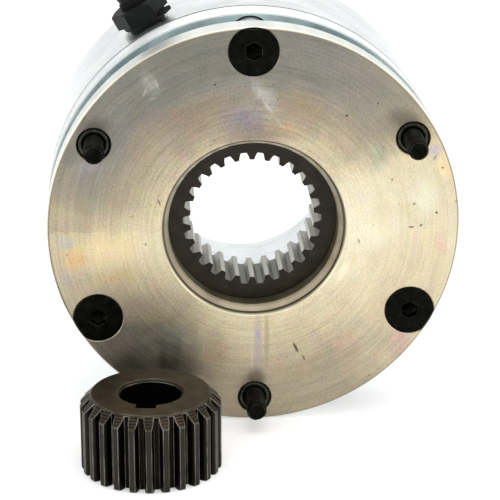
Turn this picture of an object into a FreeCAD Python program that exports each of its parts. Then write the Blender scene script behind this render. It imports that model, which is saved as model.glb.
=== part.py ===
import FreeCAD, Part
import math
import os

from FreeCAD import Vector

# Spring-applied motor brake, standing on its rim, with its splined hub beside it.
# Millimetres. The brake's axis is Y, its mounting face lies in the plane y = 0 and looks along -Y, and +Z is up.
# Angles round the brake's axis run from +X towards +Z. Angles round the hub run from +X towards +Y.

# Whole brake
outer_radius = 51.0
rim_chamfer = 0.5
flange_screw_angles = (90, 210, 330)
mounting_screw_angles = (30, 150, 270)

# Stack along the axis
flange_thickness = 7.5
rotor_thickness = 7.0
armature_thickness = 8.0
air_gap = 0.2
magnet_length = 34.3

# Stepped bore of the friction flange
bore_mouth_radius = 22.95
bore_mouth_bevel = 0.5
bore_lip_radius = 22.3
bore_lip_depth = 1.3
bore_radius = 21.15
bore_taper_depth = 3.4

# Involute spline shared by the rotor and the hub
spline_teeth = 26
spline_addendum = 0.8
pressure_angle = 20.0
hub_tip_radius = 17.05
hub_tooth_height = 2.35
spline_side_clearance = 0.15
spline_tip_clearance = 0.25
spline_root_clearance = 0.8

# Rotor
rotor_boss_radius = 20.4
rotor_boss_length = 14.4
rotor_boss_recess = 0.3
rotor_shoulder_radius = 23.6
lining_thickness = 2.0
lining_inner_clearance = 0.4
rotor_rim_clearance = 1.0
web_edge_setback = 0.4

# Countersunk flange screws and their spacer sleeves
flange_screw_radius = 3.0
flange_screw_head_radius = 6.2
flange_screw_head_sink = 0.15
flange_screw_reach = 15.3
flange_socket_flats = 4.0
flange_socket_depth = 2.4
countersink_clearance = 0.05
screw_hole_clearance = 0.2
spacer_radius = 5.0
thread_clearance = 0.05
tapped_hole_runout = 2.0

# Armature
armature_bore_clearance = 1.0
armature_rim_chamfer = 0.3
armature_guide_clearance = 0.4
armature_bridge = 0.6
armature_sleeve_clearance = 0.65

# Adjusting sleeves, through which the mounting screws run
sleeve_radius = 3.95
sleeve_bore_radius = 2.7
sleeve_edge_bevel = 0.35
sleeve_face_setback = 0.2
sleeve_hole_clearance = 0.15
sleeve_hole_bevel = 0.25
sleeve_thread_length = 14.0

# Mounting screws: the tips stand out by differing amounts, because two heads stand off their seat
mounting_screw_radius = 2.5
mounting_screw_projection = 10.7
mounting_screw_standoffs = (0.0, 2.0, 1.0)
mounting_screw_tip_bevel = 0.6
mounting_thread_overrun = 0.1
mounting_shank_radius = 2.25
mounting_head_radius = 4.25
mounting_head_height = 5.0
mounting_head_bevel = 0.4
mounting_socket_flats = 4.0
mounting_socket_depth = 2.5

# Magnet housing with its coil and springs
inner_pole_width = 7.5
coil_slot_width = 8.5
coil_slot_outer_wall = 1.0
coil_slot_depth = 22.0
potting_depth = 2.0
potting_recess = 0.3
bobbin_wall = 1.0
bobbin_clearance = 0.2
winding_setback = 0.5
spring_count = 6
spring_radius = 2.5
spring_wire = 0.9
spring_pocket_clearance = 0.3
spring_pocket_depth = 12.0

# Cable gland on the rim of the magnet housing
gland_angle = 119.3
gland_setback = 9.9
gland_seat_depth = 0.4
gland_seat_clearance = 1.2
gland_shank_radius = 4.2
gland_shank_length = 4.0
gland_base_radius = 4.85
gland_base_height = 1.4
gland_plate_radius = 5.8
gland_plate_thickness = 1.0
gland_lug_span = 16.4
gland_lug_width = 3.0
gland_lug_turn = 35.0
gland_nut_corners = 14.4
gland_nut_height = 4.0
gland_nut_chamfer = 0.5
grommet_wall = 0.7
grommet_lip_height = 1.6
grommet_lip_radius = 3.9
grommet_lip_round = 0.4
nut_bore_clearance = 0.1

# Cable: its route is a list of points, then a coil that lies on the floor
cable_radius = 3.0
cable_clearance = 0.35
cable_entry = 1.4
cable_straight_run = 2.6
cable_route = (
    (-36.7, 33.2, 57.8),
    (-53.5, 34.2, 61.0),
    (-72.8, 36.8, 50.7),
    (-80.3, 41.0, 30.0),
    (-80.3, 47.0, 2.0),
    (-79.8, 50.0, -27.0),
    (-79.0, 30.0, -48.0),
    (-79.0, 6.0, -48.0),
)
coil_outer_turn_radius = 36.0
coil_turns = 1.4
core_radius = 0.9
core_routes = (
    ((-137.9, -9.8, -48.2), (-140.4, -2.8, -49.2), (-138.4, 8.4, -50.1), (-131.0, 18.4, -50.1)),
    ((-136.6, -10.8, -48.2), (-137.6, -3.4, -49.2), (-134.6, 6.6, -50.1), (-125.8, 14.8, -50.1)),
)
ferrule_collar_radius = 1.4
ferrule_collar_length = 5.0
ferrule_pin_radius = 0.6
ferrule_pin_length = 8.0

# Splined hub, standing on the floor beside the brake
hub_centre_x = -26.66
hub_centre_y = -25.03
hub_length = 18.9
hub_top_chamfer = 2.7
hub_bottom_chamfer = 0.35
hub_bore_radius = 7.5
hub_bore_chamfer = 0.6
keyway_width = 5.0
keyway_depth = 2.3
keyway_angle = 261.5
hub_tooth_angle = 3.9

# Places that follow from the sizes above
rotor_front = flange_thickness
armature_front = rotor_front + rotor_thickness
armature_back = armature_front + armature_thickness
magnet_front = armature_back + air_gap
magnet_back = magnet_front + magnet_length
floor_height = -outer_radius
bolt_circle_radius = outer_radius - armature_bridge - armature_guide_clearance - spacer_radius
spline_module = 2 * (hub_tip_radius - spline_addendum) / spline_teeth
hub_root_radius = hub_tip_radius - hub_tooth_height
rotor_tooth_radius = hub_root_radius + spline_root_clearance
rotor_radius = bolt_circle_radius - spacer_radius - rotor_rim_clearance
lining_inner_radius = rotor_shoulder_radius + lining_inner_clearance
armature_bore_radius = rotor_boss_radius + armature_bore_clearance
screw_hole_radius = flange_screw_radius + screw_hole_clearance
flange_screw_end = magnet_front + flange_screw_reach
sleeve_end = magnet_front + sleeve_thread_length
mounting_hole_radius = mounting_screw_radius + screw_hole_clearance
coil_slot_outer = bolt_circle_radius - sleeve_radius - thread_clearance - coil_slot_outer_wall
coil_slot_inner = coil_slot_outer - coil_slot_width
magnet_bore_radius = coil_slot_inner - inner_pole_width
coil_slot_floor = magnet_front + coil_slot_depth
bobbin_front = magnet_front + potting_depth
spring_circle_radius = magnet_bore_radius + inner_pole_width / 2
gland_y = magnet_front + gland_setback
gland_seat = outer_radius - gland_seat_depth
gland_plate_seat = gland_seat + gland_base_height
gland_nut_seat = gland_plate_seat + gland_plate_thickness
gland_nut_top = gland_nut_seat + gland_nut_height
gland_bore_radius = cable_radius + cable_clearance
grommet_radius = gland_bore_radius + grommet_wall
cable_start_radius = gland_seat + cable_entry
cable_bend_start_radius = gland_nut_top + cable_straight_run


def axial(radius, start, end):
    """Round bar along the brake's axis."""
    return Part.makeCylinder(radius, end - start, Vector(0, start, 0), Vector(0, 1, 0))


def ring(outer, inner, start, end):
    """Tube along the brake's axis."""
    return axial(outer, start, end).cut(axial(inner, start, end))


def turned(profile):
    """Solid turned about the brake's axis from (radius, y) points."""
    points = [Vector(radius, y, 0) for radius, y in profile]
    face = Part.Face(Part.makePolygon(points + points[:1]))
    return face.revolve(Vector(0, 0, 0), Vector(0, 1, 0), 360)


def around(shape, angle):
    """Copy turned about the brake's axis, from +X towards +Z."""
    copy = shape.copy()
    copy.rotate(Vector(0, 0, 0), Vector(0, -1, 0), angle)
    return copy


def on_circle(shape, radius, angles):
    """Copies of a shape made on the axis, set out on a circle."""
    moved = shape.copy()
    moved.translate(Vector(radius, 0, 0))
    return [around(moved, angle) for angle in angles]


def radial(radius, start, end):
    """Round bar that points away from the axis at the gland's place, still at angle zero."""
    return Part.makeCylinder(radius, end - start, Vector(start, gland_y, 0), Vector(1, 0, 0))


def hexagon_along_y(flats, start, end):
    """Hexagonal bar along the brake's axis."""
    corner = flats / math.sqrt(3)
    points = [
        Vector(corner * math.cos(math.radians(60 * k)), start, corner * math.sin(math.radians(60 * k)))
        for k in range(7)
    ]
    return Part.Face(Part.makePolygon(points)).extrude(Vector(0, end - start, 0))


def hex_socket(flats, mouth, depth):
    """Socket cut along +Y from its mouth, with the drill's cone at its floor."""
    cone_depth = flats / 2 * math.tan(math.radians(30))
    cone = Part.makeCone(flats / 2, 0, cone_depth, Vector(0, mouth + depth, 0), Vector(0, 1, 0))
    return hexagon_along_y(flats, mouth, mouth + depth).fuse(cone)


def involute(angle):
    """Involute function of a pressure angle in radians."""
    return math.tan(angle) - angle


def half_tooth_angle(radius, side_clearance):
    """Half the angle that a spline tooth takes at a radius."""
    pitch_radius = spline_module * spline_teeth / 2
    flank = math.radians(pressure_angle)
    base_radius = pitch_radius * math.cos(flank)
    roll = math.acos(min(1.0, base_radius / radius))
    widened = side_clearance / pitch_radius
    return math.pi / (2 * spline_teeth) + widened + involute(flank) - involute(roll)


def spline_section(root, tip, side_clearance, first_angle):
    """Face in the XY plane with involute teeth that stand outward from root to tip."""
    pitch_radius = spline_module * spline_teeth / 2
    base_radius = pitch_radius * math.cos(math.radians(pressure_angle))
    low = max(root, base_radius)
    radii = [low + (tip - low) * step / 3 for step in range(4)]
    step_angle = 2 * math.pi / spline_teeth

    def at(radius, angle):
        return Vector(radius * math.cos(angle), radius * math.sin(angle), 0)

    edges = []
    for tooth in range(spline_teeth):
        middle = math.radians(first_angle) + tooth * step_angle
        halves = [half_tooth_angle(radius, side_clearance) for radius in radii]
        rising = [at(radius, middle - half) for radius, half in zip(radii, halves)]
        falling = [at(radius, middle + half) for radius, half in zip(radii, halves)]
        foot = halves[0]
        if root < low:
            edges.append(Part.makeLine(at(root, middle - foot), rising[0]))
        for flank in (rising, falling[::-1]):
            if flank is not rising:
                edges.append(Part.Arc(rising[-1], at(tip, middle), falling[-1]).toShape())
            curve = Part.BSplineCurve()
            curve.interpolate(flank)
            edges.append(curve.toShape())
        if root < low:
            edges.append(Part.makeLine(falling[0], at(root, middle + foot)))
        valley = Part.Arc(
            at(root, middle + foot),
            at(root, middle + step_angle / 2),
            at(root, middle + step_angle - foot),
        )
        edges.append(valley.toShape())
    return Part.Face(Part.Wire(edges))


def friction_flange():
    """Face plate with the stepped bore, the countersunk holes and the plain holes."""
    plate = turned(
        (
            (bore_mouth_radius, 0),
            (outer_radius - rim_chamfer, 0),
            (outer_radius, rim_chamfer),
            (outer_radius, flange_thickness - rim_chamfer),
            (outer_radius - rim_chamfer, flange_thickness),
            (bore_radius, flange_thickness),
            (bore_radius, bore_taper_depth),
            (bore_lip_radius, bore_lip_depth),
            (bore_mouth_radius - bore_mouth_bevel, bore_mouth_bevel),
        )
    )
    mouth = flange_screw_head_radius + flange_screw_head_sink + countersink_clearance
    sink = turned(((0, 0), (mouth, 0), (screw_hole_radius, mouth - screw_hole_radius), (0, mouth - screw_hole_radius)))
    screw_hole = sink.fuse(axial(screw_hole_radius, 0, flange_thickness))
    hole_radius = sleeve_radius + sleeve_hole_clearance
    sleeve_hole = turned(
        (
            (0, 0),
            (hole_radius + sleeve_hole_bevel, 0),
            (hole_radius, sleeve_hole_bevel),
            (hole_radius, flange_thickness),
            (0, flange_thickness),
        )
    )
    cuts = on_circle(screw_hole, bolt_circle_radius, flange_screw_angles)
    cuts += on_circle(sleeve_hole, bolt_circle_radius, mounting_screw_angles)
    return plate.cut(cuts)


def countersunk_screws():
    """Three screws whose heads are turned off flush with the flange's rim."""
    head_end = flange_screw_head_sink + flange_screw_head_radius - flange_screw_radius
    body = turned(
        (
            (0, flange_screw_head_sink),
            (flange_screw_head_radius, flange_screw_head_sink),
            (flange_screw_radius, head_end),
            (flange_screw_radius, flange_screw_end),
            (0, flange_screw_end),
        )
    )
    body = body.cut(hex_socket(flange_socket_flats, flange_screw_head_sink, flange_socket_depth))
    trimmed = axial(outer_radius - rim_chamfer, 0, flange_screw_end)
    return [screw.common(trimmed) for screw in on_circle(body, bolt_circle_radius, flange_screw_angles)]


def spacer_sleeves():
    """Three tubes that hold the flange at its distance from the magnet housing."""
    tube = ring(spacer_radius, screw_hole_radius, flange_thickness, magnet_front)
    return on_circle(tube, bolt_circle_radius, flange_screw_angles)


def rotor_carrier():
    """Boss with the internal spline, front shoulder and the web between the linings."""
    boss_front = rotor_front + rotor_boss_recess
    boss_back = boss_front + rotor_boss_length
    web_front = rotor_front + lining_thickness
    web_back = armature_front - lining_thickness
    web_radius = rotor_radius - web_edge_setback
    blank = turned(
        (
            (0, boss_front),
            (rotor_shoulder_radius, boss_front),
            (rotor_shoulder_radius, web_front),
            (web_radius, web_front),
            (web_radius, web_back),
            (rotor_boss_radius, web_back),
            (rotor_boss_radius, boss_back),
            (0, boss_back),
        )
    )
    space_tip = hub_tip_radius + spline_tip_clearance
    section = spline_section(rotor_tooth_radius, space_tip, spline_side_clearance, 0)
    cutter = section.extrude(Vector(0, 0, rotor_boss_length))
    cutter.rotate(Vector(0, 0, 0), Vector(1, 0, 0), -90)
    cutter.translate(Vector(0, boss_front, 0))
    return blank.cut(cutter)


def lining(start):
    """Friction lining, a flat ring bonded to the rotor's web."""
    return ring(rotor_radius, lining_inner_radius, start, start + lining_thickness)


def armature_plate():
    """Plate that slides on the spacer sleeves, and that the springs press on the rotor."""
    plate = turned(
        (
            (armature_bore_radius, armature_front),
            (outer_radius - armature_rim_chamfer, armature_front),
            (outer_radius, armature_front + armature_rim_chamfer),
            (outer_radius, armature_back - armature_rim_chamfer),
            (outer_radius - armature_rim_chamfer, armature_back),
            (armature_bore_radius, armature_back),
        )
    )
    guide = axial(spacer_radius + armature_guide_clearance, armature_front, armature_back)
    passage = axial(sleeve_radius + armature_sleeve_clearance, armature_front, armature_back)
    cuts = on_circle(guide, bolt_circle_radius, flange_screw_angles)
    cuts += on_circle(passage, bolt_circle_radius, mounting_screw_angles)
    return plate.cut(cuts)


def magnet_housing():
    """Steel body with the coil slot, spring pockets, tapped holes and the cable outlet."""
    body = turned(
        (
            (magnet_bore_radius, magnet_front),
            (coil_slot_inner, magnet_front),
            (coil_slot_inner, coil_slot_floor),
            (coil_slot_outer, coil_slot_floor),
            (coil_slot_outer, magnet_front),
            (outer_radius - rim_chamfer, magnet_front),
            (outer_radius, magnet_front + rim_chamfer),
            (outer_radius, magnet_back - rim_chamfer),
            (outer_radius - rim_chamfer, magnet_back),
            (magnet_bore_radius, magnet_back),
        )
    )
    pocket = axial(spring_radius + spring_pocket_clearance, magnet_front, magnet_front + spring_pocket_depth)
    tapped = axial(
        flange_screw_radius + thread_clearance, magnet_front, flange_screw_end + tapped_hole_runout
    )
    sleeve_hole = axial(sleeve_radius + thread_clearance, magnet_front, sleeve_end)
    sleeve_hole = sleeve_hole.fuse(axial(mounting_hole_radius, sleeve_end, magnet_back))
    shank_floor = gland_seat - gland_shank_length
    outlet = radial(gland_bore_radius, coil_slot_outer - bobbin_wall, outer_radius)
    outlet = outlet.fuse(radial(gland_shank_radius + thread_clearance, shank_floor, outer_radius))
    outlet = outlet.fuse(radial(gland_base_radius + gland_seat_clearance, gland_seat, outer_radius + 1))
    cuts = on_circle(pocket, spring_circle_radius, spring_angles())
    cuts += on_circle(tapped, bolt_circle_radius, flange_screw_angles)
    cuts += on_circle(sleeve_hole, bolt_circle_radius, mounting_screw_angles)
    return body.cut(cuts + [around(outlet, gland_angle)])


def spring_angles():
    """Even places of the springs round the inner pole."""
    return [360 * k / spring_count for k in range(spring_count)]


def coil_bobbin():
    """Open-sided spool that carries the winding."""
    core = coil_slot_inner + bobbin_clearance
    flange = coil_slot_outer - bobbin_clearance
    return turned(
        (
            (core, bobbin_front),
            (flange, bobbin_front),
            (flange, bobbin_front + bobbin_wall),
            (core + bobbin_wall, bobbin_front + bobbin_wall),
            (core + bobbin_wall, coil_slot_floor - bobbin_wall),
            (flange, coil_slot_floor - bobbin_wall),
            (flange, coil_slot_floor),
            (core, coil_slot_floor),
        )
    )


def coil_winding():
    """Copper winding as one ring between the spool's flanges."""
    inner = coil_slot_inner + bobbin_clearance + bobbin_wall
    outer = coil_slot_outer - bobbin_clearance - winding_setback
    return ring(outer, inner, bobbin_front + bobbin_wall, coil_slot_floor - bobbin_wall)


def coil_potting():
    """Resin ring that closes the slot, and the resin plug in the cable outlet."""
    seal = ring(coil_slot_outer, coil_slot_inner, magnet_front + potting_recess, bobbin_front)
    plug = radial(cable_radius + cable_clearance / 2, coil_slot_outer, cable_start_radius)
    return [seal, around(plug, gland_angle)]


def pressure_springs():
    """Closed coils that stand in the inner pole's pockets and push on the armature."""
    spring = ring(
        spring_radius, spring_radius - spring_wire, armature_back, magnet_front + spring_pocket_depth
    )
    return on_circle(spring, spring_circle_radius, spring_angles())


def adjusting_sleeves():
    """Hollow screws in the magnet housing that end just behind the flange's face."""
    front = sleeve_face_setback
    sleeve = turned(
        (
            (sleeve_bore_radius + sleeve_edge_bevel, front),
            (sleeve_radius - sleeve_edge_bevel, front),
            (sleeve_radius, front + sleeve_edge_bevel),
            (sleeve_radius, sleeve_end),
            (sleeve_bore_radius, sleeve_end),
            (sleeve_bore_radius, front + sleeve_edge_bevel),
        )
    )
    return on_circle(sleeve, bolt_circle_radius, mounting_screw_angles)


def mounting_screw(standoff):
    """Cap screw that runs through the whole brake from behind, threaded where it stands out of the flange."""
    tip = standoff - mounting_screw_projection
    seat = magnet_back + standoff
    head_end = seat + mounting_head_height
    body = turned(
        (
            (0, tip),
            (mounting_screw_radius - mounting_screw_tip_bevel, tip),
            (mounting_screw_radius, tip + mounting_screw_tip_bevel),
            (mounting_screw_radius, mounting_thread_overrun),
            (mounting_shank_radius, mounting_thread_overrun),
            (mounting_shank_radius, seat),
            (mounting_head_radius, seat),
            (mounting_head_radius, head_end - mounting_head_bevel),
            (mounting_head_radius - mounting_head_bevel, head_end),
            (0, head_end),
        )
    )
    socket = hexagon_along_y(mounting_socket_flats, head_end - mounting_socket_depth, head_end)
    return body.cut(socket)


def mounting_screws():
    """Three mounting screws, each with its own stand-off."""
    placed = []
    for angle, standoff in zip(mounting_screw_angles, mounting_screw_standoffs):
        placed += on_circle(mounting_screw(standoff), bolt_circle_radius, [angle])
    return placed


def gland_body():
    """Screwed-in shank, round base and the thin plate with its two lugs."""
    body = radial(gland_shank_radius, gland_seat - gland_shank_length, gland_seat)
    body = body.fuse(radial(gland_base_radius, gland_seat, gland_plate_seat))
    plate = radial(gland_plate_radius, gland_plate_seat, gland_nut_seat)
    lugs = Part.makeBox(
        gland_plate_thickness,
        gland_lug_width,
        gland_lug_span,
        Vector(gland_plate_seat, gland_y - gland_lug_width / 2, -gland_lug_span / 2),
    )
    lugs.rotate(Vector(0, gland_y, 0), Vector(-1, 0, 0), gland_lug_turn)
    body = body.fuse(plate).fuse(lugs).removeSplitter()
    bore = radial(gland_bore_radius, gland_seat - gland_shank_length, gland_nut_seat)
    return around(body.cut(bore), gland_angle)


def gland_nut():
    """Hexagonal nut with a chamfered top and a round bore for the grommet."""
    corner = gland_nut_corners / 2
    points = [
        Vector(
            gland_nut_seat,
            gland_y + corner * math.sin(math.radians(60 * k)),
            corner * math.cos(math.radians(60 * k)),
        )
        for k in range(7)
    ]
    prism = Part.Face(Part.makePolygon(points)).extrude(Vector(gland_nut_height, 0, 0))
    straight = radial(corner, gland_nut_seat, gland_nut_top - gland_nut_chamfer)
    crown = Part.makeCone(
        corner,
        corner - gland_nut_chamfer * math.sqrt(3),
        gland_nut_chamfer,
        Vector(gland_nut_top - gland_nut_chamfer, gland_y, 0),
        Vector(1, 0, 0),
    )
    bore = radial(grommet_radius + nut_bore_clearance, gland_nut_seat, gland_nut_top)
    return around(prism.common(straight.fuse(crown)).cut(bore), gland_angle)


def gland_grommet():
    """Rubber seal inside the nut, with a rounded lip that stands out round the cable."""
    seal = radial(grommet_radius, gland_nut_seat, gland_nut_top)
    lip_end = gland_nut_top + grommet_lip_height
    lip = radial(grommet_lip_radius, gland_nut_top, lip_end)
    outer_edges = [
        edge
        for edge in lip.Edges
        if isinstance(edge.Curve, Part.Circle) and edge.CenterOfMass.x > lip_end - grommet_lip_round
    ]
    lip = lip.makeFillet(grommet_lip_round, outer_edges)
    bore = radial(gland_bore_radius, gland_nut_seat, lip_end)
    return around(seal.fuse(lip).cut(bore), gland_angle)


def rounded_path(points):
    """Straight runs joined by tangent arcs, and the arcs' radii."""
    edges = []
    radii = []
    start = points[0]
    for before, corner, after in zip(points, points[1:], points[2:]):
        back = before - corner
        onward = after - corner
        half_turn = (math.pi - back.getAngle(onward)) / 2
        reach = 0.45 * min(back.Length, onward.Length)
        radius = reach / math.tan(half_turn)
        back.normalize()
        onward.normalize()
        inward = back + onward
        inward.normalize()
        arc_start = corner + back * reach
        arc_middle = corner + inward * (radius / math.cos(half_turn) - radius)
        arc_end = corner + onward * reach
        edges.append(Part.LineSegment(start, arc_start).toShape())
        edges.append(Part.Arc(arc_start, arc_middle, arc_end).toShape())
        radii.append(radius)
        start = arc_end
    edges.append(Part.LineSegment(start, points[-1]).toShape())
    return Part.Wire(edges), radii


def tube(points, radius, name):
    """Round tube along a rounded path. Prints its bend radii and how its volume agrees with its length."""
    path, radii = rounded_path(points)
    section = Part.Wire(Part.makeCircle(radius, points[0], points[1] - points[0]))
    solid = path.makePipeShell([section], True, False)
    expected = math.pi * radius**2 * path.Length
    print(name, "length", round(path.Length, 1), "bend radii", [round(value, 1) for value in radii])
    print(name, "volume over section times length", round(solid.Volume / expected, 4))
    return solid


def cable_points():
    """Route of the cable: straight out of the gland, then the chosen points."""
    direction = Vector(math.cos(math.radians(gland_angle)), 0, math.sin(math.radians(gland_angle)))
    exit_points = [
        direction * radius + Vector(0, gland_y, 0) for radius in (cable_start_radius, cable_bend_start_radius)
    ]
    return exit_points + [Vector(*point) for point in cable_route]


def cable():
    """Sheathed cable from the gland to the coil on the floor."""
    return tube(cable_points(), cable_radius, "cable")


def cable_coil():
    """Outer shape of the coiled length, a flat ring on the floor beside the route's end."""
    end = cable_points()[-1]
    centre = Vector(end.x - coil_outer_turn_radius, end.y, end.z - cable_radius)
    outer = coil_outer_turn_radius + cable_radius
    inner = coil_outer_turn_radius - coil_turns * 2 * cable_radius - cable_radius
    height = 2 * cable_radius
    return Part.makeCylinder(outer, height, centre).cut(Part.makeCylinder(inner, height, centre))


def cable_cores():
    """Two insulated cores that come out of the sheath's end."""
    return [
        tube([Vector(*point) for point in route], core_radius, f"core {number}")
        for number, route in enumerate(core_routes, 1)
    ]


def core_ferrules():
    """Crimped ferrules, each in line with its core."""
    ferrules = []
    for route in core_routes:
        end = Vector(*route[-1])
        direction = end - Vector(*route[-2])
        direction.normalize()
        collar = Part.makeCylinder(ferrule_collar_radius, ferrule_collar_length, end, direction)
        pin_start = end + direction * ferrule_collar_length
        pin = Part.makeCylinder(ferrule_pin_radius, ferrule_pin_length, pin_start, direction)
        ferrules.append(collar.fuse(pin))
    return ferrules


def splined_hub():
    """Hub with external involute teeth, a keyed bore and a wide chamfer on top."""
    section = spline_section(hub_root_radius, hub_tip_radius, 0, hub_tooth_angle)
    teeth = section.extrude(Vector(0, 0, hub_length))
    profile = (
        (hub_bore_radius + hub_bore_chamfer, 0),
        (hub_tip_radius - hub_bottom_chamfer, 0),
        (hub_tip_radius, hub_bottom_chamfer),
        (hub_tip_radius, hub_length - hub_top_chamfer),
        (hub_tip_radius - hub_top_chamfer, hub_length),
        (hub_bore_radius + hub_bore_chamfer, hub_length),
        (hub_bore_radius, hub_length - hub_bore_chamfer),
        (hub_bore_radius, hub_bore_chamfer),
    )
    points = [Vector(radius, 0, height) for radius, height in profile]
    face = Part.Face(Part.makePolygon(points + points[:1]))
    blank = face.revolve(Vector(0, 0, 0), Vector(0, 0, 1), 360)
    keyway = Part.makeBox(
        hub_bore_radius + keyway_depth, keyway_width, hub_length, Vector(0, -keyway_width / 2, 0)
    )
    keyway.rotate(Vector(0, 0, 0), Vector(0, 0, 1), keyway_angle)
    hub = teeth.common(blank).cut(keyway)
    hub.translate(Vector(hub_centre_x, hub_centre_y, floor_height))
    return hub


def write(name, solids):
    """Write one node: a single solid, or identical pieces as one group."""
    shape = Part.makeCompound(solids) if isinstance(solids, list) else solids
    if not shape.isValid():
        print("invalid shape:", name)
    shape.exportStep(f"parts/{name}.step")


os.makedirs("parts", exist_ok=True)
write("friction_flange", friction_flange())
write("countersunk_screws", countersunk_screws())
write("spacer_sleeves", spacer_sleeves())
write("rotor_carrier", rotor_carrier())
write("front_lining", lining(rotor_front))
write("rear_lining", lining(armature_front - lining_thickness))
write("armature_plate", armature_plate())
write("magnet_housing", magnet_housing())
write("coil_bobbin", coil_bobbin())
write("coil_winding", coil_winding())
write("coil_potting", coil_potting())
write("pressure_springs", pressure_springs())
write("adjusting_sleeves", adjusting_sleeves())
write("mounting_screws", mounting_screws())
write("gland_body", gland_body())
write("gland_nut", gland_nut())
write("gland_grommet", gland_grommet())
write("cable", cable())
write("cable_coil", cable_coil())
write("cable_cores", cable_cores())
write("core_ferrules", core_ferrules())
write("splined_hub", splined_hub())
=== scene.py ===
"""Looks of a spring-applied motor brake that stands on its rim, with its splined hub in front of it.

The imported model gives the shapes. This script dresses them, adds what is too fine for it, lays the lead and
sets the studio. Metres, +Z up, the brake's axis along Y, its mounting face in the plane y = 0.
"""

import logging
import math
from dataclasses import dataclass, field
from enum import Enum

import bpy
from mathutils import Matrix, Vector


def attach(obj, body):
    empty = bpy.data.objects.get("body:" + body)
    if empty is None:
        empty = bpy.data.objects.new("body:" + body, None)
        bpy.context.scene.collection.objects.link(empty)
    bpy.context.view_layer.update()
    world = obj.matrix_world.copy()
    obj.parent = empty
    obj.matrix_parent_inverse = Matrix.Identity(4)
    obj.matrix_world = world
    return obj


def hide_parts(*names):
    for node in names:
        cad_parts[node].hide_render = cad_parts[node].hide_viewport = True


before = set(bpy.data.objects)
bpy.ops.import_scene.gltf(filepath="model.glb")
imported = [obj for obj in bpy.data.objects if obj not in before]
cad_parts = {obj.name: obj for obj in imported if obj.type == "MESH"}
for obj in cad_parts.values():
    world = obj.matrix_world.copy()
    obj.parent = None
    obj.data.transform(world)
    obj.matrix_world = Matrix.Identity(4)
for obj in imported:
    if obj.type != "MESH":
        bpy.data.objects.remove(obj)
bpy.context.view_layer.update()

MM = 0.001
OUTER_RADIUS = 51.0 * MM
FLOOR_HEIGHT = -OUTER_RADIUS
BOLT_CIRCLE_RADIUS = 45.0 * MM
# Length of one ring of the wave texture at a scale of one.
WAVE_LENGTH = 0.314
WHITE = (1.0, 1.0, 1.0, 1.0)
COLOUR_MIX = {"data_type": "RGBA"}

Tree = bpy.types.NodeTree
Node = bpy.types.Node
Socket = bpy.types.NodeSocket
Piece = bpy.types.Object
Triple = tuple[float, float, float]

log = logging.getLogger("brake")


def linear(code: str) -> tuple[float, float, float, float]:
    """Turn an sRGB hex colour into the linear values that shaders take.

    Args:
        code: The colour as six hex digits with a leading hash.

    Returns:
        Red, green, blue and an alpha of one.
    """
    parts = [int(code[i : i + 2], 16) / 255 for i in (1, 3, 5)]
    values = [c / 12.92 if c <= 0.04045 else ((c + 0.055) / 1.055) ** 2.4 for c in parts]
    return (values[0], values[1], values[2], 1.0)


def add_node(tree: Tree, kind: str, settings: dict | str = "", **inputs: object) -> Node:
    """Add one shader node with its settings, values and links.

    Args:
        tree: The node tree that gets the node.
        kind: The node's type name without its ShaderNode prefix.
        settings: The node's operation, or a dict of its own attributes, in which stops holds the places and
            hex colours of a colour ramp.
        **inputs: Socket name or _index with a value, or an output socket to link from.

    Returns:
        The new node.
    """
    made = tree.nodes.new("ShaderNode" + kind)
    if isinstance(settings, str):
        settings = {"operation": settings} if settings else {}
    for name, value in settings.items():
        if name == "stops":
            elements = made.color_ramp.elements
            while len(elements) < len(value):
                elements.new(1.0)
            for element, (position, code) in zip(elements, value):
                element.position = position
                element.color = linear(code)
        else:
            setattr(made, name, value)
    for name, value in inputs.items():
        key = int(name[1:]) if name[0] == "_" else name.replace("_", " ")
        socket = made.inputs[key]
        if isinstance(value, Socket):
            tree.links.new(value, socket)
        else:
            socket.default_value = value
    return made


@dataclass(frozen=True)
class Finish:
    """A material that is built once and then put on pieces."""

    name: str
    roughness: float
    metallic: float

    def material(self) -> bpy.types.Material:
        """Make the material, or give the one that is already made.

        Returns:
            The material.
        """
        made = bpy.data.materials.get(self.name)
        if made is None:
            made = bpy.data.materials.new(self.name)
            made.use_nodes = True
            tree = made.node_tree
            shader = tree.nodes["Principled BSDF"]
            shader.inputs["Roughness"].default_value = self.roughness
            shader.inputs["Metallic"].default_value = self.metallic
            place = add_node(tree, "TexCoord").outputs["Object"]
            self.dress(tree, shader, place)
        return made

    def dress(self, tree: Tree, shader: Node, place: Socket) -> None:
        """Link the finish's own pattern to the shader, by its node tree and the position on the piece."""
        raise NotImplementedError

    def put_on(self, piece: Piece) -> None:
        """Give a piece this finish alone.

        Args:
            piece: What is dressed.
        """
        slots = piece.data.materials
        if len(slots) == 0:
            slots.append(self.material())
        for index in range(len(slots)):
            slots[index] = self.material()


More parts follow.
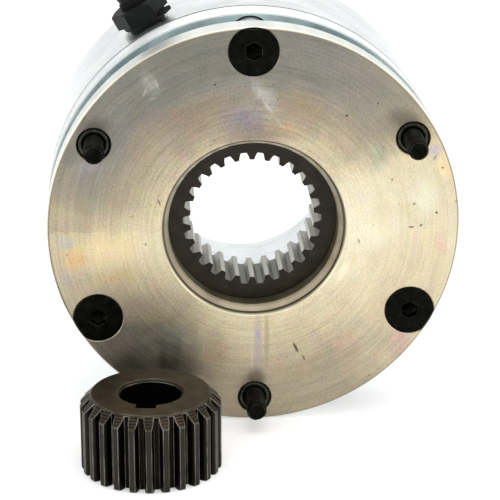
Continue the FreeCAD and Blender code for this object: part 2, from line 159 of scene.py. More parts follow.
@dataclass(frozen=True)
class Stain:
    """One cloud, smudge, scuff or nick on the turned face, or a patch of painted shade, light or glint, set
    in the plane of the face.
    """

    x_mm: float
    z_mm: float
    half_length_mm: float
    half_width_mm: float
    turn_deg: float
    colour: str
    strength: float
    core: float = 0.0

    def lay(self, tree: Tree, place: Socket, under: Socket) -> Socket:
        """Mix this stain over a colour.

        Args:
            tree: The face's node tree.
            place: Position on the face, with its depth left out.
            under: The colour below.

        Returns:
            The colour with the stain on it.
        """
        local = add_node(
            tree,
            "Mapping",
            {"vector_type": "TEXTURE"},
            Vector=place,
            Location=(self.x_mm * MM, 0.0, self.z_mm * MM),
            Rotation=(0.0, -math.radians(self.turn_deg), 0.0),
            Scale=(self.half_length_mm * MM, 1.0, self.half_width_mm * MM),
        )
        reach = add_node(tree, "VectorMath", "LENGTH", _0=local.outputs["Vector"])
        cover = add_node(
            tree,
            "MapRange",
            {"interpolation_type": "SMOOTHSTEP"},
            _0=reach.outputs["Value"],
            _1=1.0,
            _2=self.core,
            _3=0.0,
            _4=self.strength,
        )
        mixed = add_node(
            tree, "Mix", COLOUR_MIX, _0=cover.outputs["Result"], _6=under, _7=linear(self.colour)
        )
        return mixed.outputs[2]


# Clouds of the chromate film, with painted highlight in the pale ones beside the bore and painted light low
# on the left. Their borders are ragged.
FILM_AND_PAINTED_LIGHT_CLOUDS = (
    # Partly the film's gold tint, partly painted highlight on the left fan.
    Stain(-36.0, -4.5, 15.0, 8.5, 8.0, "#ecd9ab", 0.75),
    Stain(-44.0, -6.5, 4.5, 4.0, 0.0, "#d9b070", 0.65),
    Stain(-34.0, -12.0, 9.0, 2.6, 6.0, "#cdb27c", 0.6),
    Stain(-46.5, -2.5, 3.0, 2.2, 0.0, "#b4bac2", 0.55),
    Stain(-46.5, -12.0, 3.5, 5.0, 20.0, "#b5a6a6", 0.5),
    Stain(-14.0, 30.0, 15.0, 6.0, 14.0, "#8b7663", 0.5),
    Stain(-26.0, 23.0, 8.0, 5.0, 50.0, "#a08c72", 0.4),
    Stain(12.0, 31.0, 9.0, 6.5, -20.0, "#9c8268", 0.45),
    Stain(26.0, 39.0, 7.0, 4.0, -35.0, "#9a8a84", 0.4),
    Stain(0.0, 25.0, 17.0, 6.0, 0.0, "#86796f", 0.8),
    Stain(-16.5, 23.5, 9.0, 7.5, 45.0, "#8f8174", 0.6),
    Stain(-2.0, 28.6, 8.0, 6.0, 0.0, "#7f7b92", 0.6),
    Stain(2.0, 34.5, 2.6, 6.0, 35.0, "#c4c6c2", 0.5),
    Stain(8.0, 25.0, 7.0, 2.6, -20.0, "#bb9f7b", 0.5),
    Stain(-40.0, 16.5, 4.0, 3.0, 0.0, "#a096a6", 0.5),
    Stain(-25.0, 37.0, 3.2, 4.2, 30.0, "#adada6", 0.5),
    Stain(31.0, 19.0, 8.0, 4.5, 60.0, "#95a08c", 0.5),
    Stain(44.0, 19.0, 3.0, 2.4, 0.0, "#b7a6c4", 0.6),
    # Partly the film's pale tint, partly painted highlight on the right fan.
    Stain(42.0, 8.0, 8.0, 5.0, 90.0, "#e6e8cf", 0.6),
    Stain(47.0, 15.0, 3.0, 5.0, 20.0, "#eed39c", 0.5),
    # Partly the film's pale tint, partly painted highlight on the right fan.
    Stain(30.0, -2.0, 9.0, 7.0, 0.0, "#efe8d0", 0.5),
    Stain(47.0, -6.0, 2.6, 6.0, 0.0, "#d8b6a4", 0.45),
    Stain(-9.0, -33.0, 4.0, 9.0, 0.0, "#a58a74", 0.5),
    # Painted light: a pale patch that lifts the face low on the left, where the hub's reflection darkens it.
    Stain(-20.0, -29.0, 8.0, 7.0, 0.0, "#babcaa", 0.7),
    Stain(23.0, -30.0, 6.0, 5.0, 60.0, "#bb9f8d", 0.45),
    Stain(37.0, -31.0, 4.5, 6.0, -40.0, "#c7a0a0", 0.55),
    Stain(10.0, -38.0, 9.0, 5.0, 0.0, "#a9967a", 0.4),
)

# Smudges, scuffs, nicks and pits with clean borders, with painted shadow above the three screw holes and
# painted glints on nicks in the bore's lip.
MARKS_SHADOWS_AND_GLINTS = (
    Stain(0.9, -30.5, 1.5, 12.0, 0.0, "#a9a09f", 0.6, 0.3),
    Stain(-0.6, -32.0, 0.5, 11.0, 0.0, "#c9bfa8", 0.5, 0.2),
    Stain(3.1, -29.0, 0.9, 10.0, 0.0, "#9c8e74", 0.5, 0.3),
    Stain(0.9, -28.0, 1.0, 1.6, 0.0, "#a596bd", 0.6, 0.2),
    # Painted shadow: a soft dark smudge above each of the three screw holes, here and in the next two lines.
    Stain(0.4, -40.0, 3.2, 4.2, 0.0, "#5d5546", 0.6, 0.3),
    Stain(-38.5, 27.0, 5.5, 3.0, 10.0, "#69645a", 0.5, 0.3),
    Stain(36.5, 27.5, 6.0, 3.4, -20.0, "#6d685c", 0.55, 0.3),
    Stain(-45.0, 20.0, 3.0, 4.0, 0.0, "#6f6c64", 0.4, 0.3),
    Stain(-23.5, 37.5, 0.6, 2.4, 20.0, "#bcbcb5", 0.45),
    Stain(-26.3, 35.5, 0.5, 2.0, -25.0, "#bcbcb5", 0.45),
    Stain(-24.5, 33.8, 1.4, 0.5, 10.0, "#b6b6ae", 0.45),
    Stain(3.5, 31.0, 0.7, 3.4, 35.0, "#c9c8c2", 0.5),
    Stain(6.3, 27.0, 0.6, 2.8, 40.0, "#c9bdc4", 0.4),
    Stain(10.4, -31.8, 0.45, 1.9, 25.0, "#4f4739", 0.9, 0.5),
    Stain(12.4, -34.6, 0.3, 1.2, 25.0, "#6d624f", 0.8, 0.5),
    Stain(22.6, 28.6, 0.45, 0.35, 0.0, "#33302a", 0.9, 0.5),
    Stain(-9.4, 37.0, 0.5, 0.35, 30.0, "#4a463e", 0.8, 0.5),
    Stain(-41.5, 29.0, 1.3, 0.4, 45.0, "#2c2922", 0.9, 0.5),
    Stain(-23.3, 7.4, 0.3, 1.0, 20.0, "#5b5445", 0.8, 0.5),
    Stain(39.0, -0.4, 0.9, 0.35, 0.0, "#6b5f4c", 0.8, 0.5),
    Stain(41.4, 0.0, 0.6, 0.4, 30.0, "#7b6d55", 0.8, 0.5),
    Stain(45.2, 3.2, 0.45, 0.35, 0.0, "#4b4236", 0.9, 0.5),
    Stain(46.4, 14.8, 0.45, 0.35, 0.0, "#5a5042", 0.8, 0.5),
    Stain(39.6, 5.6, 0.5, 0.4, 0.0, "#8a7a5c", 0.8, 0.5),
    Stain(34.0, 12.0, 0.4, 0.4, 0.0, "#7d715a", 0.8, 0.5),
    Stain(44.5, 17.5, 0.9, 0.35, 60.0, "#94805e", 0.7, 0.5),
    Stain(26.0, -3.8, 0.35, 0.9, 20.0, "#8b7e66", 0.7, 0.5),
    Stain(30.2, 31.5, 0.35, 0.3, 0.0, "#47433b", 0.8, 0.5),
    Stain(-30.0, 4.0, 1.0, 0.35, 10.0, "#a08d66", 0.6, 0.5),
    Stain(22.3, -11.6, 1.6, 4.4, -25.0, "#f3ead0", 0.6, 0.3),
    # Painted glints on nicks in the bore's lip, here and in the next two lines.
    Stain(2.0, -22.25, 2.6, 0.5, 0.0, "#fffbe8", 0.9, 0.4),
    Stain(7.6, -21.4, 1.7, 0.5, 18.0, "#fffbe8", 0.9, 0.4),
    Stain(13.6, -17.8, 2.0, 0.6, 38.0, "#fffbe8", 0.9, 0.4),
)

# Painted highlight fans of the turned face and painted darker reflection round its axis: pale left and right
# of the bore, duller above and low on the left; from the left through below, right and above.
PAINTED_HIGHLIGHT_FANS = (
    (0.0, "#c8c8c8"),
    (0.052, "#c0c0c0"),
    (0.095, "#a2a2a2"),
    (0.138, "#9a9a9a"),
    (0.19, "#b0b0b0"),
    (0.235, "#aeaeae"),
    (0.33, "#a8a8a8"),
    (0.40, "#c8c8c8"),
    (0.50, "#dfdfdf"),
    (0.566, "#dcdcdc"),
    (0.606, "#9a9a9a"),
    (0.69, "#7e7e7e"),
    (0.80, "#6e6e6e"),
    (0.91, "#808080"),
    (0.965, "#969696"),
    (0.985, "#b8b8b8"),
)

# Ground colours of the face, from its dullest tone to its palest.
GROUND_COLOURS = (
    (0.0, "#585a4e"),
    (0.22, "#86837a"),
    (0.42, "#a89c86"),
    (0.66, "#cfc2a3"),
    (0.95, "#ebe3c9"),
)

# The stepped bore, from its deepest ring out to the bevel at its mouth, with a ring of painted shade in the
# corner under the lip.
BORE_COLOURS = (
    (0.0, "#9a927c"),
    (0.08, "#d2c5a9"),
    (0.35, "#f6e9d0"),
    (0.60, "#e6d6bb"),
    # Painted shade in the corner under the lip.
    (0.645, "#4a4738"),
    (0.73, "#6f6a56"),
    (0.86, "#a79f86"),
    (0.95, "#e6ddc2"),
)

# The flange's outer edge, from its brown chamfer line out to the pale rim.
RIM_COLOURS = (
    (0.50, "#6f6758"),
    (0.60, "#8f8572"),
    (0.70, "#ab9f89"),
    (0.84, "#d2cbb9"),
    (0.94, "#e6e9e2"),
)


@dataclass(frozen=True)
class ZincPlatedFace(Finish):
    """Lathe-turned steel with zinc plating under a thin chromate film.

    To the eye: two pale fans of painted highlight left and right of the bore, like those that turning marks
    give, painted darker reflection above and low on the left, faint gold, pink, lilac and green clouds,
    painted shadow above the screw holes, painted glints on the bore's lip, a pale rim, and a cream bore with
    a ring of painted shade behind its bright bevel. A pair of sizes gives the radii between which a tone
    changes.
    """

    name: str = "zinc plated and chromated turned steel"
    roughness: float = 0.40
    metallic: float = 1.0
    ragged_mm: float = 7.0
    cloud_mm: float = 8.0
    grain_mm: float = 0.5
    mottle_mm: float = 4.0
    mottle_strength: float = 0.2
    turning_mm: float = 0.5
    turning_breaks: float = 2.5
    speckle_share: float = 0.6
    pit_mm: float = 1.3
    pit_colour: str = "#6b6353"
    pit_strength: float = 0.55
    painted_fans_mm: tuple[float, float] = (22.0, 40.0)
    painted_fans_at_bore: float = 0.5
    lines_mm: tuple[float, float] = (23.0, 36.0)
    lines_at_bore: float = 0.34
    lines_at_rim: float = 0.26
    bore_mm: tuple[float, float] = (21.0, 23.0)
    bore_edge_mm: tuple[float, float] = (22.98, 22.94)
    rim_mm: tuple[float, float] = (50.0, 51.0)
    rim_edge_mm: tuple[float, float] = (50.40, 50.52)
    dullest: float = 0.88

    def dress(self, tree: Tree, shader: Node, place: Socket) -> None:
        """Painted highlight fans, film clouds with painted light among them, marks with painted shadows and
        glints, and the turned grain on the face, then the rim and the bore.

        Args:
            tree: The material's node tree.
            shader: The node that takes the pattern.
            place: Position on the piece.
        """
        in_plane = add_node(tree, "VectorMath", "MULTIPLY", _0=place, _1=(1.0, 0.0, 1.0))
        flat = in_plane.outputs["Vector"]
        cloud = add_node(
            tree, "TexNoise", Vector=flat, Scale=1 / (self.cloud_mm * MM), Detail=4.0, Roughness=0.62
        )
        middle = (0.5, 0.5, 0.5)
        shift = add_node(tree, "VectorMath", "SUBTRACT", _0=cloud.outputs["Color"], _1=middle)
        ragged = add_node(
            tree,
            "VectorMath",
            "MULTIPLY_ADD",
            _0=shift.outputs["Vector"],
            _1=(self.ragged_mm * MM,) * 3,
            _2=flat,
        ).outputs["Vector"]
        radius = add_node(tree, "VectorMath", "LENGTH", _0=flat).outputs["Value"]
        colour = self.painted_highlight_fans(tree, ragged, radius)
        for stain in FILM_AND_PAINTED_LIGHT_CLOUDS:
            colour = stain.lay(tree, ragged, colour)
        colour, grain = self.grain(tree, flat, radius, colour)
        for mark in MARKS_SHADOWS_AND_GLINTS:
            colour = mark.lay(tree, flat, colour)
        colour = self.bore_and_rim(tree, radius, cloud.outputs["Fac"], colour)
        tree.links.new(colour, shader.inputs["Base Color"])
        rough = add_node(
            tree,
            "MapRange",
            _0=cloud.outputs["Fac"],
            _1=0.3,
            _2=0.7,
            _3=self.roughness - 0.06,
            _4=self.roughness + 0.08,
        )
        tree.links.new(rough.outputs["Result"], shader.inputs["Roughness"])
        bump = add_node(tree, "Bump", Strength=0.2, Distance=0.02 * MM, Height=grain)
        tree.links.new(bump.outputs["Normal"], shader.inputs["Normal"])

    def painted_highlight_fans(self, tree: Tree, place: Socket, radius: Socket) -> Socket:
        """Painted highlight fans and painted darker reflection round the face's axis, full at the rim and
        fainter at the bore.

        Args:
            tree: The face's node tree.
            place: Position on the face with ragged borders.
            radius: Distance from the axis.

        Returns:
            The face's ground colour with the painted highlight fans.
        """
        split = add_node(tree, "SeparateXYZ", Vector=place)
        angle = add_node(tree, "Math", "ARCTAN2", _0=split.outputs["Z"], _1=split.outputs["X"])
        turn = add_node(tree, "MapRange", _0=angle.outputs["Value"], _1=-math.pi, _2=math.pi)
        tone = add_node(tree, "ValToRGB", {"stops": PAINTED_HIGHLIGHT_FANS}, Fac=turn.outputs["Result"])
        near, far = self.painted_fans_mm
        depth = add_node(tree, "MapRange", _0=radius, _1=near * MM, _2=far * MM, _3=self.painted_fans_at_bore, _4=1.0)
        toned = add_node(
            tree, "Mix", COLOUR_MIX, _0=depth.outputs["Result"], _6=WHITE, _7=tone.outputs["Color"]
        )
        ground = add_node(tree, "ValToRGB", {"stops": GROUND_COLOURS}, Fac=toned.outputs[2])
        return ground.outputs["Color"]

    def grain(self, tree: Tree, flat: Socket, radius: Socket, under: Socket) -> tuple[Socket, Socket]:
        """Coloured mottle, turning marks that are strongest near the bore, a fine speckle and scattered pits.

        Args:
            tree: The face's node tree.
            flat: Position on the face.
            radius: Distance from the axis.
            under: The colour below.

        Returns:
            The marked colour, and the height for the bump.
        """
        outward = add_node(tree, "VectorMath", "NORMALIZE", _0=flat)
        pitch = add_node(tree, "Math", "DIVIDE", _0=radius, _1=self.turning_mm * MM)
        rings = add_node(tree, "CombineXYZ", Y=pitch.outputs["Value"])
        polar = add_node(
            tree,
            "VectorMath",
            "MULTIPLY_ADD",
            _0=outward.outputs["Vector"],
            _1=(self.turning_breaks,) * 3,
            _2=rings.outputs["Vector"],
        )
        turning = add_node(
            tree, "TexNoise", Vector=polar.outputs["Vector"], Scale=1.0, Detail=3.0, Roughness=0.6
        )
        speckle = add_node(
            tree, "TexNoise", Vector=flat, Scale=1 / (self.grain_mm * MM), Detail=3.0, Roughness=0.75
        )
        height = add_node(
            tree, "Mix", _0=self.speckle_share, _2=turning.outputs["Fac"], _3=speckle.outputs["Fac"]
        ).outputs[0]
        mottle = add_node(
            tree, "TexNoise", Vector=flat, Scale=1 / (self.mottle_mm * MM), Detail=6.0, Roughness=0.75
        )
        near, far = self.lines_mm
        depth = add_node(
            tree,
            "MapRange",
            _0=radius,
            _1=near * MM,
            _2=far * MM,
            _3=self.lines_at_bore,
            _4=self.lines_at_rim,
        )
        level = add_node(tree, "MapRange", _0=height, _1=0.33, _2=0.67)
        colour = under
        for strength, pattern in (
            (self.mottle_strength, mottle.outputs["Color"]),
            (depth.outputs["Result"], level.outputs["Result"]),
        ):
            settings = {"data_type": "RGBA", "blend_type": "OVERLAY"}
            colour = add_node(tree, "Mix", settings, _0=strength, _6=colour, _7=pattern).outputs[2]
        pits = add_node(tree, "TexNoise", Vector=flat, Scale=1 / (self.pit_mm * MM), Detail=1.0)
        pitted = add_node(
            tree, "MapRange", _0=pits.outputs["Fac"], _1=0.71, _2=0.78, _3=0.0, _4=self.pit_strength
        )
        marked = add_node(
            tree, "Mix", COLOUR_MIX, _0=pitted.outputs["Result"], _6=colour, _7=linear(self.pit_colour)
        )
        return marked.outputs[2], height

    def bore_and_rim(self, tree: Tree, radius: Socket, cloud: Socket, under: Socket) -> Socket:
        """Colours of the turned bore, with its ring of painted shade under the lip, and of the rim, which
        take the light differently from the face.

        Args:
            tree: The face's node tree.
            radius: Distance from the axis.
            cloud: A slow noise.
            under: The face's colour.

        Returns:
            The colour of the whole piece.
        """
        colour = under
        for (start, end), stops, (outside, inside) in (
            (self.bore_mm, BORE_COLOURS, self.bore_edge_mm),
            (self.rim_mm, RIM_COLOURS, self.rim_edge_mm),
        ):
            place = add_node(tree, "MapRange", _0=radius, _1=start * MM, _2=end * MM).outputs["Result"]
            tone = add_node(tree, "ValToRGB", {"stops": stops}, Fac=place).outputs["Color"]
            cover = add_node(tree, "MapRange", _0=radius, _1=outside * MM, _2=inside * MM).outputs["Result"]
            colour = add_node(tree, "Mix", COLOUR_MIX, _0=cover, _6=colour, _7=tone).outputs[2]
        veil = add_node(tree, "MapRange", _0=cloud, _1=0.35, _2=0.65, _3=self.dullest, _4=1.0)
        shaded = add_node(
            tree,
            "Mix",
            {"data_type": "RGBA", "blend_type": "MULTIPLY"},
            _0=1.0,
            _6=colour,
            _7=veil.outputs["Result"],
        )
        return shaded.outputs[2]


@dataclass(frozen=True)
class PlatedDisc(Finish):
    """Bright zinc on a disc turned about Y.

    To the eye: a pale rim and bore with faint lathe lines, a grey line of painted shade at the corners,
    duller clouded faces.
    """

    name: str = "bright zinc plated turned steel"
    roughness: float = 0.3
    metallic: float = 1.0
    rim: str = "#edf0f0"
    rim_shade: str = "#d9dfe0"
    painted_corner_shade: str = "#6a6e6a"
    face: str = "#c9cfd0"
    face_shade: str = "#a9b1b3"
    cloud_mm: float = 10.0
    line_mm: float = 0.6
    line_stretch: float = 0.05
    line_share: float = 0.3

    def dress(self, tree: Tree, shader: Node, place: Socket) -> None:
        """Slow clouds with lathe lines round the axis, in tones of their own on rim and faces, and painted
        shade on the corners.

        Args:
            tree: The material's node tree.
            shader: The node that takes the pattern.
            place: Position on the piece.
        """
        clouds = add_node(
            tree, "TexNoise", Vector=place, Scale=1 / (self.cloud_mm * MM), Detail=5.0, Roughness=0.6
        )
        cloud = clouds.outputs["Fac"]
        stretch = (self.line_stretch, 1.0 / self.line_mm / 2, self.line_stretch)
        drawn_out = add_node(tree, "VectorMath", "MULTIPLY", _0=place, _1=stretch)
        lines = add_node(tree, "TexNoise", Vector=drawn_out.outputs["Vector"], Scale=1 / MM, Detail=2.0)
        mixed = add_node(tree, "Mix", _0=self.line_share, _2=cloud, _3=lines.outputs["Fac"])
        rim = add_node(
            tree, "ValToRGB", {"stops": ((0.38, self.rim_shade), (0.58, self.rim))}, Fac=mixed.outputs[0]
        )
        face = add_node(tree, "ValToRGB", {"stops": ((0.38, self.face_shade), (0.62, self.face))}, Fac=cloud)
        split = add_node(tree, "SeparateXYZ", Vector=add_node(tree, "NewGeometry").outputs["True Normal"])
        square = add_node(tree, "Math", "ABSOLUTE", _0=split.outputs["Y"])
        colour = rim.outputs["Color"]
        # The corners get a grey of painted shade, the shade that falls in the joints between parts.
        for start, end, tone in ((0.3, 0.5, linear(self.painted_corner_shade)), (0.85, 0.95, face.outputs["Color"])):
            cover = add_node(tree, "MapRange", _0=square.outputs["Value"], _1=start, _2=end).outputs["Result"]
            colour = add_node(tree, "Mix", COLOUR_MIX, _0=cover, _6=colour, _7=tone).outputs[2]
        tree.links.new(colour, shader.inputs["Base Color"])
        rough = add_node(
            tree, "MapRange", _0=cloud, _1=0.3, _2=0.7, _3=self.roughness - 0.06, _4=self.roughness + 0.1
        )
        tree.links.new(rough.outputs["Result"], shader.inputs["Roughness"])
        bump = add_node(tree, "Bump", Strength=0.12, Distance=0.02 * MM, Height=lines.outputs["Fac"])
        tree.links.new(bump.outputs["Normal"], shader.inputs["Normal"])


@dataclass(frozen=True)
class Clouded(Finish):
    """Two tones in soft clouds, under a fine bumpy grain."""

    dark: str
    light: str
    cloud_mm: float
    grain_mm: float
    cloud_detail: float = 4.0
    dark_until: float = 0.35
    bump_strength: float = 0.15
    specular: float = 0.5

    def dress(self, tree: Tree, shader: Node, place: Socket) -> None:
        """Cloud the colour and raise the grain.

        Args:
            tree: The material's node tree.
            shader: The node that takes the pattern.
            place: Position on the piece.
        """
        shader.inputs["Specular IOR Level"].default_value = self.specular
        cloud = add_node(
            tree, "TexNoise", Vector=place, Scale=1 / (self.cloud_mm * MM), Detail=self.cloud_detail
        )
        stops = ((self.dark_until, self.dark), (0.65, self.light))
        colour = add_node(tree, "ValToRGB", {"stops": stops}, Fac=cloud.outputs["Fac"])
        tree.links.new(colour.outputs["Color"], shader.inputs["Base Color"])
        grain = add_node(tree, "TexNoise", Vector=place, Scale=1 / (self.grain_mm * MM), Detail=2.0)
        bump = add_node(
            tree, "Bump", Strength=self.bump_strength, Distance=0.05 * MM, Height=grain.outputs["Fac"]
        )
        tree.links.new(bump.outputs["Normal"], shader.inputs["Normal"])


@dataclass(frozen=True, kw_only=True)
class PlainMetal(Clouded):
    """Drawn or ground metal, which mirrors the studio in a soft blur."""

    metallic: float = 1.0


@dataclass(frozen=True, kw_only=True)
class Moulded(Clouded):
    """Plastic, rubber, resin or pressed compound with the mould's shallow grain."""

    metallic: float = 0.0
    cloud_detail: float = 3.0
    dark_until: float = 0.4
    bump_strength: float = 0.2


class Axis(Enum):
    """Axis that a piece was turned about."""

    Y = "Y"
    Z = "Z"

    def across(self) -> Triple:
        """Weights that leave out what lies along this axis."""
        return (1.0, float(self is not Axis.Y), float(self is not Axis.Z))


@dataclass(frozen=True)
class WornBlack(Finish):
    """Black conversion coat on steel: dark satin, lighter along the corners, partly rubbed and on the hub
    partly painted glints, lathe rings where turned.

    Surfaces along the axis pass from the coat to a second tone between two radii, and faces square to the
    axis have a third.
    """

    name: str = "black phosphated steel"
    roughness: float = 0.42
    metallic: float = 0.7
    coat: str = "#17140f"
    cloud: str = "#231f18"
    worn_edge_and_glint: str = "#8c8578"
    edge_mm: float = 0.35
    wear: float = 0.9
    cloud_mm: float = 4.0
    grain_mm: float = 0.25
    axis: Axis = Axis.Y
    centre_mm: Triple = (0.0, 0.0, 0.0)
    ring_mm: float = 0.9
    ring_depth: float = 0.25
    bare: str = "#a09f97"
    # Past every radius of the part, so that nothing is bare where a finish doesn't say so.
    bare_mm: tuple[float, float] = (1000.0, 1001.0)
    end_shade: str = "#14120d"
    end_face: str = "#1d1a14"
    end_cover: float = 0.0

    def dress(self, tree: Tree, shader: Node, place: Socket) -> None:
        """Clouded and ringed coat, bare sides, end faces, rubbed corners, and a crystalline grain.

        Args:
            tree: The material's node tree.
            shader: The node that takes the pattern.
            place: Position on the piece.
        """
        clouds = add_node(tree, "TexNoise", Vector=place, Scale=1 / (self.cloud_mm * MM), Detail=5.0)
        cloud = clouds.outputs["Fac"]
        centre = tuple(value * MM for value in self.centre_mm)
        moved = add_node(tree, "VectorMath", "SUBTRACT", _0=place, _1=centre)
        centred = moved.outputs["Vector"]
        rings = add_node(
            tree,
            "TexWave",
            {"wave_type": "RINGS", "rings_direction": self.axis.value},
            Vector=centred,
            Scale=WAVE_LENGTH / (self.ring_mm * MM),
            Distortion=0.8,
            Detail=2.0,
        ).outputs["Fac"]
        ringed = add_node(tree, "Mix", _0=self.ring_depth, _2=cloud, _3=rings).outputs[0]
        coat = add_node(tree, "ValToRGB", {"stops": ((0.35, self.coat), (0.7, self.cloud))}, Fac=ringed)
        end_tones = ((0.35, self.end_shade), (0.65, self.end_face))
        end = add_node(tree, "ValToRGB", {"stops": end_tones}, Fac=ringed)
        rounded = add_node(tree, "Bevel", {"samples": 6}, Radius=self.edge_mm * MM).outputs["Normal"]
        bared, ended = self.sides_and_ends(tree, centred)
        rubbed = self.rubbed(tree, rounded, cloud)
        colour = coat.outputs["Color"]
        for cover, tone in (
            (bared, linear(self.bare)),
            (ended, end.outputs["Color"]),
            (rubbed, linear(self.worn_edge_and_glint)),
        ):
            colour = add_node(tree, "Mix", COLOUR_MIX, _0=cover, _6=colour, _7=tone).outputs[2]
        tree.links.new(colour, shader.inputs["Base Color"])
        grain = add_node(tree, "TexNoise", Vector=place, Scale=1 / (self.grain_mm * MM), Detail=2.0)
        height = add_node(tree, "Mix", _0=self.ring_depth, _2=grain.outputs["Fac"], _3=rings)
        bump = add_node(
            tree, "Bump", Strength=0.3, Distance=0.04 * MM, Height=height.outputs[0], Normal=rounded
        )
        tree.links.new(bump.outputs["Normal"], shader.inputs["Normal"])

    def sides_and_ends(self, tree: Tree, centred: Socket) -> tuple[Socket, Socket]:
        """Where the bare tone and the end faces' tone cover the coat.

        Args:
            tree: The finish's node tree.
            centred: Position from the piece's own axis.

        Returns:
            Cover of the bare tone, and cover of the end tone.
        """
        from_axis = add_node(tree, "VectorMath", "MULTIPLY", _0=centred, _1=self.axis.across())
        radius = add_node(tree, "VectorMath", "LENGTH", _0=from_axis.outputs["Vector"])
        split = add_node(tree, "SeparateXYZ", Vector=add_node(tree, "NewGeometry").outputs["True Normal"])
        square = add_node(tree, "Math", "ABSOLUTE", _0=split.outputs[self.axis.value])
        start, end = self.bare_mm
        reach = add_node(tree, "MapRange", _0=radius.outputs["Value"], _1=start * MM, _2=end * MM)
        along = add_node(tree, "MapRange", _0=square.outputs["Value"], _1=0.3, _2=0.5, _3=1.0, _4=0.0)
        bared = add_node(tree, "Math", "MULTIPLY", _0=reach.outputs["Result"], _1=along.outputs["Result"])
        ended = add_node(
            tree, "MapRange", _0=square.outputs["Value"], _1=0.55, _2=0.95, _3=0.0, _4=self.end_cover
        )
        return bared.outputs["Value"], ended.outputs["Result"]

    def rubbed(self, tree: Tree, rounded: Socket, cloud: Socket) -> Socket:
        """Wear in patches where the surface turns sharply, which on the hub also paints glints along the
        tooth edges.

        Args:
            tree: The finish's node tree.
            rounded: The normal as it would be with rounded corners.
            cloud: A slow noise.

        Returns:
            Cover of the worn edge tone, which also paints glints.
        """
        normal = add_node(tree, "NewGeometry").outputs["Normal"]
        likeness = add_node(tree, "VectorMath", "DOT_PRODUCT", _0=rounded, _1=normal)
        edge = add_node(
            tree, "MapRange", _0=likeness.outputs["Value"], _1=0.995, _2=0.86, _3=0.0, _4=self.wear
        )
        patchy = add_node(tree, "MapRange", _0=cloud, _1=0.35, _2=0.6, _3=0.25, _4=1.0)
        rub = add_node(tree, "Math", "MULTIPLY", _0=edge.outputs["Result"], _1=patchy.outputs["Result"])
        return rub.outputs["Value"]


@dataclass(frozen=True)
class SmoothBlack(WornBlack):
    """Thin oiled black on small steel parts, without lathe rings and just lighter along the corners."""

    metallic: float = 1.0
    wear: float = 0.6
    cloud_mm: float = 2.0
    grain_mm: float = 0.3
    ring_depth: float = 0.0


# Turned steel, zinc plated and chromated: the painted highlight fans and clouds of the brake's front.
PLATED_FACE = ZincPlatedFace()
# The same plating on the long body: pale and smooth round the rim, cloudy grey on the rear.
PLATED_BODY = PlatedDisc()
# Ground and nitrided steel: a bright edge, and a blue-grey face seen in the gap.
ARMATURE_STEEL = PlatedDisc(
    "blue-grey steel disc with a bright rim", 0.5, 0.6, painted_corner_shade="#b4b9b4", face="#cfe6ea", face_shade="#abc6cd"
)
# Drawn tube: light grey with a soft shine.
PLATED_TUBE = PlainMetal(
    "zinc plated tube", 0.35, "#a8aeae", "#c3c9c8", cloud_mm=6.0, grain_mm=0.35, bump_strength=0.1
)
# Drawn wire under oil: mid grey and sleek.
SPRING_STEEL = PlainMetal(
    "oiled spring steel", 0.3, "#77787a", "#9b9c9e", cloud_mm=3.0, grain_mm=0.3, bump_strength=0.1
)
# Crimped tin: bright, slightly warm.
TINNED = PlainMetal(
    "tinned copper", 0.25, "#b5b3ad", "#d0cec8", cloud_mm=2.0, grain_mm=0.3, bump_strength=0.08
)
# Lacquered wire: deep red-brown.
COPPER = PlainMetal(
    "enamelled copper winding", 0.4, "#8a4a26", "#b5683a", cloud_mm=1.5, grain_mm=0.3, bump_strength=0.3
)
# Phosphated steel: brown-black ends, dark tooth spaces, and pale teeth, partly rubbed bright by the hub and
# partly painted light that reaches them through the bore.
PHOSPHATED_ROTOR = WornBlack(
    "black phosphated rotor steel with bright teeth",
    worn_edge_and_glint="#6f6a60",
    wear=0.5,
    ring_depth=0.15,
    # The pale bare tone is partly rubbed metal and partly painted light that reaches the teeth through the
    # bore.
    bare="#c2c1b8",
    bare_mm=(17.6, 16.7),
    end_shade="#211d16",
    end_face="#302b21",
    end_cover=0.7,
)
# Phosphated steel, turned and hobbed: fine rings on a brown top whose lighter tone is partly the turned
# face's own and partly painted light from above, black spaces, dark grey lands, light edges that are partly
# wear and partly painted glints.
PHOSPHATED_HUB = WornBlack(
    "black phosphated hub steel with rubbed teeth",
    metallic=1.0,
    coat="#0e0c09",
    cloud="#1a1712",
    # The light edges are partly wear and partly painted glints along the teeth.
    worn_edge_and_glint="#a39e93",
    wear=1.0,
    axis=Axis.Z,
    centre_mm=(-26.66, -25.03, 0.0),
    ring_mm=0.55,
    ring_depth=0.35,
    bare="#302e29",
    bare_mm=(15.8, 16.9),
    end_shade="#322b22",
    # The end faces' lighter brown is partly the turned tone and partly painted light on the hub's top.
    end_face="#645a4a",
    end_cover=0.9,
)
# Blackened steel under oil: dark olive grey with lighter edges.
SLEEVE_STEEL = SmoothBlack(
    "oiled sleeve steel", 0.4, coat="#2b2b25", cloud="#47473e", worn_edge_and_glint="#7c7a6e", edge_mm=0.25
)
# Black oxide: nearly black, with the sockets' edges just lighter.
BLACK_OXIDE = SmoothBlack(
    "black oxide alloy steel", 0.38, coat="#0b0b09", cloud="#161613", worn_edge_and_glint="#5d5a54", edge_mm=0.2
)
# Pressed compound: dull brown with flecks of fibre.
LINING = Moulded("pressed friction compound", 0.85, "#3a322c", "#57493c", cloud_mm=0.8, grain_mm=0.25)
# Moulded nylon: satin black.
NYLON = Moulded("moulded black nylon", 0.5, "#101211", "#181b1a", cloud_mm=3.0, grain_mm=0.5, specular=0.12)
# Rubber: matt black.
RUBBER = Moulded("black rubber", 0.6, "#0b0c0c", "#121313", cloud_mm=2.0, grain_mm=0.3, specular=0.12)
# Extruded sheath: black with a faint long shine.
SHEATH = Moulded(
    "smooth black cable sheath", 0.45, "#0e1112", "#171b1c", cloud_mm=6.0, grain_mm=0.6, specular=0.2
)
